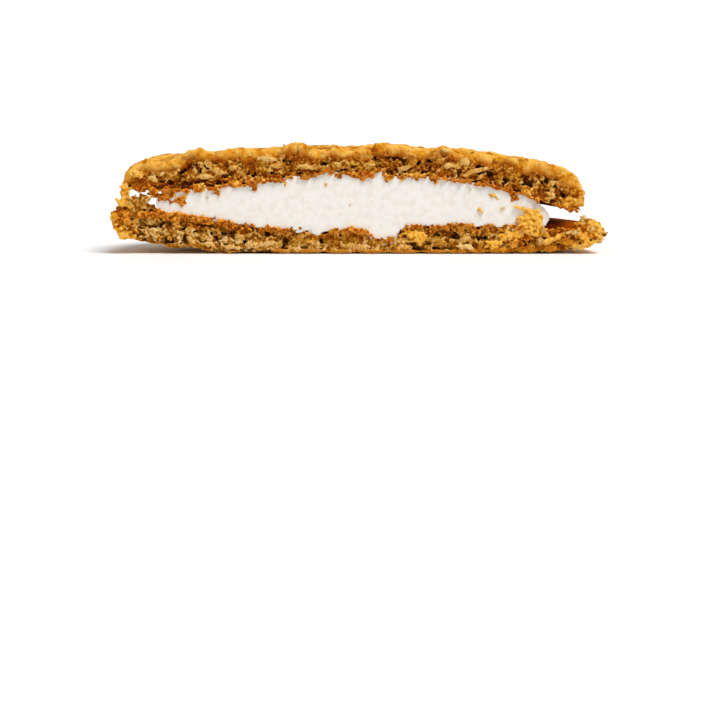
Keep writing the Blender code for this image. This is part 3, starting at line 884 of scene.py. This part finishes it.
def node(tree, kind, inputs=(), stops=(), out=0, **settings):
    """Adds a shader node with its settings, values, links and colour stops, and gives back one output."""
    made = tree.nodes.new("ShaderNode" + kind)
    made.location = (250 * (len(tree.nodes) % 8), -300 * (len(tree.nodes) // 8))
    for name, value in settings.items():
        setattr(made, name, value)
    for name, value in dict(inputs).items():
        if isinstance(value, bpy.types.NodeSocket):
            tree.links.new(value, made.inputs[name])
        else:
            made.inputs[name].default_value = value
    for number, (position, colour) in enumerate(stops):
        elements = made.color_ramp.elements
        stop = elements[number] if number < 2 else elements.new(position)
        stop.position = position
        stop.color = colour
    return made.outputs[out] if made.outputs else None


def blank_material(name):
    """A new material without any nodes, and the tree to add them to."""
    made = bpy.data.materials.new(name)
    made.use_nodes = True
    made.node_tree.nodes.clear()
    return made, made.node_tree


def baked_dough(name, look, gloss):
    """Soft baked oatmeal dough: dull and porous where torn, faintly greasy on the crust."""
    made, tree = blank_material(name)
    place = node(tree, "TexCoord", out="Object")
    crust, rust, flat, depth, tone = [
        node(tree, "Attribute", out="Fac", attribute_name=mark) for mark in MARKS
    ]
    # Fine flour and oat grain, and patches that baked a little darker.
    grain, patch = [
        node(tree, "TexNoise", {"Vector": place, "Scale": 1 / (size * MM), "Detail": 3.0})
        for size in (FLOUR_GRAIN, DOUGH_PATCHES)
    ]
    speckle, mottle = [
        node(tree, "Math", {0: pattern, 1: much, 2: less}, operation="MULTIPLY_ADD")
        for pattern, much, less in ((grain, 1.3, -0.65), (patch, 2.4, -1.14))
    ]
    crumb_tone = node(tree, "Math", {0: tone, 1: speckle}, operation="ADD")
    patchy = node(tree, "Math", {0: tone, 1: mottle}, operation="ADD")
    crust_tone = node(tree, "Math", {0: speckle, 1: 0.6, 2: patchy}, operation="MULTIPLY_ADD")
    # The tone these ramps read holds painted light: its dark end is partly painted shade in pits and its
    # pale end partly painted highlight on rims and ridges.
    crumb = node(tree, "ValToRGB", {"Fac": crumb_tone}, (
        (0, look.shade), (0.22, look.brown), (0.45, look.tan), (0.7, look.gold), (1, look.pale),
    ))
    golden = node(tree, "ValToRGB", {"Fac": crust_tone}, (
        (0, look.amber), (0.42, look.crust), (0.92, look.glaze),
    ))
    rusted = node(tree, "ValToRGB", {"Fac": crumb_tone}, (
        (0, look.brown), (0.4, look.rust), (0.8, look.ember), (1, look.crust),
    ))
    flat_side = node(tree, "ValToRGB", {"Fac": flat}, ((0.45, look.flat), (1, look.dusk)))
    on_flat = node(tree, "Math", {0: flat, 1: 2.2}, operation="MULTIPLY", use_clamp=True)
    # How golden the crust is, from amber, and how far it covers the crumb.
    gilded, crusted = [
        node(tree, "ValToRGB", {"Fac": crust}, ((low, (0, 0, 0, 1)), (high, (1, 1, 1, 1))))
        for low, high in ((0.35, 0.95), (0.15, 0.45))
    ]
    # Over the crumb lie the crust, the orange grains, the flat side with its painted far shadow, and the
    # painted shade of hollows, cracks and pits. The inputs of a mix of colours are 0 for how much of the
    # second one, 6 for the first and 7 for the second.
    mix = {"out": 2, "data_type": "RGBA"}
    crust_colour = node(tree, "Mix", {0: gilded, 6: look.amber, 7: golden}, **mix)
    colour = crumb
    layers = ((crusted, crust_colour), (rust, rusted), (on_flat, flat_side), (depth, look.shade))
    for cover, above in layers:
        colour = node(tree, "Mix", {0: cover, 6: colour, 7: above}, **mix)
    bump = node(tree, "Bump", {"Height": grain, "Strength": 0.6, "Distance": 0.1 * MM})
    shader = node(tree, "BsdfPrincipled", {
        "Base Color": colour, "Roughness": 0.7, "Specular IOR Level": gloss, "Normal": bump,
        "Subsurface Weight": 0.3, "Subsurface Radius": (1.0, 0.45, 0.15), "Subsurface Scale": 0.7 * MM,
    })
    node(tree, "OutputMaterial", {"Surface": shader})
    return made


def whipped_cream(look):
    """Whipped sugar and fat: matt white, soft to the light, with the finest air pits."""
    made, tree = blank_material("Whipped cream")
    place = node(tree, "TexCoord", out="Object")
    fluff = node(tree, "TexNoise", {"Vector": place, "Scale": 1 / (CREAM_AIR * MM), "Detail": 5.0})
    colour = node(tree, "ValToRGB", {"Fac": fluff}, ((0.3, look.cream), (0.55, look.white)))
    bump = node(tree, "Bump", {"Height": fluff, "Strength": 0.35, "Distance": 0.2 * MM})
    shader = node(tree, "BsdfPrincipled", {
        "Base Color": colour, "Roughness": 0.55, "Specular IOR Level": 0.25, "Normal": bump,
        "Subsurface Weight": 0.35, "Subsurface Radius": (1.0, 0.8, 0.6), "Subsurface Scale": 1 * MM,
    })
    node(tree, "OutputMaterial", {"Surface": shader})
    return made


def dull_flat_side(piece, material):
    """Gives the faces of a cookie's flat-baked side their own material."""
    piece.data.materials.append(material)
    flat = np.empty(len(piece.data.vertices), np.float32)
    piece.data.attributes["flat"].data.foreach_get("value", flat)
    for face in piece.data.polygons:
        face.material_index = int(flat[face.vertices[0]] > 0.1)


def keep(piece, material, slot, *nodes):
    """Finishes a piece: its material, its body, and the layers it stands for, which it hides. The slot is
    not used.
    """
    piece.data.materials.clear()
    piece.data.materials.append(material)
    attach(piece, "root")
    if nodes:
        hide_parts(*nodes)


def make_cookie(look, cut):
    """A baked cookie and the crumb on its cut."""
    piece, tree = bake_cookie(look, cut)
    dough = baked_dough(cut.dough, look, GREASE)
    keep(piece, dough, cut.layer, cut.layer)
    dull_flat_side(piece, baked_dough(cut.flat_side, look, 0.0))
    keep(crumb_mass(crumb_grains(tree, look, cut), look, cut), dough, cut.layer)


def lay_paper(colour):
    """A sheet of matt white paper under the half, which rises in a curve behind it."""
    sweep = bmesh.new()
    bmesh.ops.create_grid(sweep, x_segments=1, y_segments=60, size=PAPER_HALF)
    for point in sweep.verts:
        climb = max(0.0, point.co.y - PAPER_BEND)
        turn = min(climb / PAPER_BEND, math.pi / 2)
        point.co.y = min(point.co.y, PAPER_BEND) + PAPER_BEND * math.sin(turn)
        point.co.z = PAPER_BEND * (1 - math.cos(turn)) + climb - PAPER_BEND * turn
    mesh = bpy.data.meshes.new("paper_sweep")
    sweep.to_mesh(mesh)
    sweep.free()
    mesh.shade_smooth()
    made, tree = blank_material("Seamless paper")
    shader = node(tree, "BsdfPrincipled", {
        "Base Color": colour, "Roughness": 0.9, "Specular IOR Level": 0.1,
    })
    node(tree, "OutputMaterial", {"Surface": shader})
    mesh.materials.append(made)
    paper = bpy.data.objects.new("paper_sweep", mesh)
    bpy.context.scene.collection.objects.link(paper)


def light_room(scene, look):
    """A white room and a soft main light from the front, the right and above."""
    world = bpy.data.worlds.new("White room")
    world.use_nodes = True
    inputs = world.node_tree.nodes["Background"].inputs
    inputs["Color"].default_value = (1, 1, 1, 1)
    inputs["Strength"].default_value = look.room
    scene.world = world
    bpy.ops.object.light_add(type="SUN", location=LIGHT_PLACE)
    key = bpy.context.active_object
    key.name = "soft_key"
    key.data.energy = look.key
    key.data.angle = math.radians(LIGHT_SPREAD)
    key.rotation_euler = key.location.to_track_quat("Z", "Y").to_euler()


def aim_camera(scene):
    """The photograph's view, worked out from where the half and the horizon lie in it."""
    focal = CAMERA_TO_CUT / PIXEL
    height = (BASE_ROW - HORIZON_ROW) * PIXEL
    down = math.atan(height / CAMERA_TO_CUT) + math.atan((PHOTO_SIDE / 2 - BASE_ROW) / focal)
    aside = (PHOTO_SIDE / 2 - MIDDLE_COLUMN) * PIXEL
    place = Vector((aside, CUT - CAMERA_TO_CUT, height)) * MM
    bpy.ops.object.camera_add(location=place, rotation=(math.radians(90) - down, 0, 0))
    camera = bpy.context.active_object
    camera.name = "photo_view"
    camera.data.clip_start = 0.01
    camera.data.sensor_width = SENSOR
    camera.data.lens = SENSOR * focal / PHOTO_SIDE
    scene.camera = camera
    scene.view_settings.view_transform = "Standard"


class PIE_OT_top_cookie(bpy.types.Operator):
    """Bake the upper cookie"""

    bl_idname = "pie.top_cookie"
    bl_label = "Top Cookie"

    def execute(self, context):
        make_cookie(context.scene.pie_top_cookie, TOP_CUT)
        return {"FINISHED"}


class PIE_OT_bottom_cookie(bpy.types.Operator):
    """Bake the lower cookie"""

    bl_idname = "pie.bottom_cookie"
    bl_label = "Bottom Cookie"

    def execute(self, context):
        make_cookie(context.scene.pie_bottom_cookie, BOTTOM_CUT)
        return {"FINISHED"}


class PIE_OT_cream(bpy.types.Operator):
    """Whip the cream and cut it"""

    bl_idname = "pie.cream"
    bl_label = "Cream"

    def execute(self, context):
        look = context.scene.pie_cream
        whipped = whipped_cream(look)
        keep(whip_cream(look), whipped, "cream", "cream_filling")
        keep(cream_crumbs(look.crumb_mesh), whipped, "cream")
        return {"FINISHED"}


class PIE_OT_stage(bpy.types.Operator):
    """Set up the white studio and the photograph's view"""

    bl_idname = "pie.stage"
    bl_label = "Stage"

    def execute(self, context):
        look = context.scene.pie_stage
        lay_paper(look.paper)
        light_room(context.scene, look)
        aim_camera(context.scene)
        return {"FINISHED"}


class PIE_PT_steps(bpy.types.Panel):
    """The pie's steps, in order"""

    bl_label = "Oatmeal Cream Pie"
    bl_idname = "PIE_PT_steps"
    bl_space_type = "VIEW_3D"
    bl_region_type = "UI"
    bl_category = "Pie"

    def draw(self, context):
        for step in STEPS:
            self.layout.operator(step.bl_idname)


SETTINGS = {
    "pie_top_cookie": TopCookieSettings,
    "pie_bottom_cookie": BottomCookieSettings,
    "pie_cream": CreamSettings,
    "pie_stage": StageSettings,
}
STEPS = (PIE_OT_top_cookie, PIE_OT_bottom_cookie, PIE_OT_cream, PIE_OT_stage)


def register():
    for kind in (*SETTINGS.values(), *STEPS, PIE_PT_steps):
        bpy.utils.register_class(kind)
    for name, kind in SETTINGS.items():
        setattr(bpy.types.Scene, name, PointerProperty(type=kind))


def unregister():
    for name in SETTINGS:
        delattr(bpy.types.Scene, name)
    for kind in (PIE_PT_steps, *STEPS, *SETTINGS.values()):
        bpy.utils.unregister_class(kind)


def main():
    register()
    bpy.ops.pie.top_cookie()
    bpy.ops.pie.bottom_cookie()
    bpy.ops.pie.cream()
    bpy.ops.pie.stage()


if __name__ == "__main__":
    main()
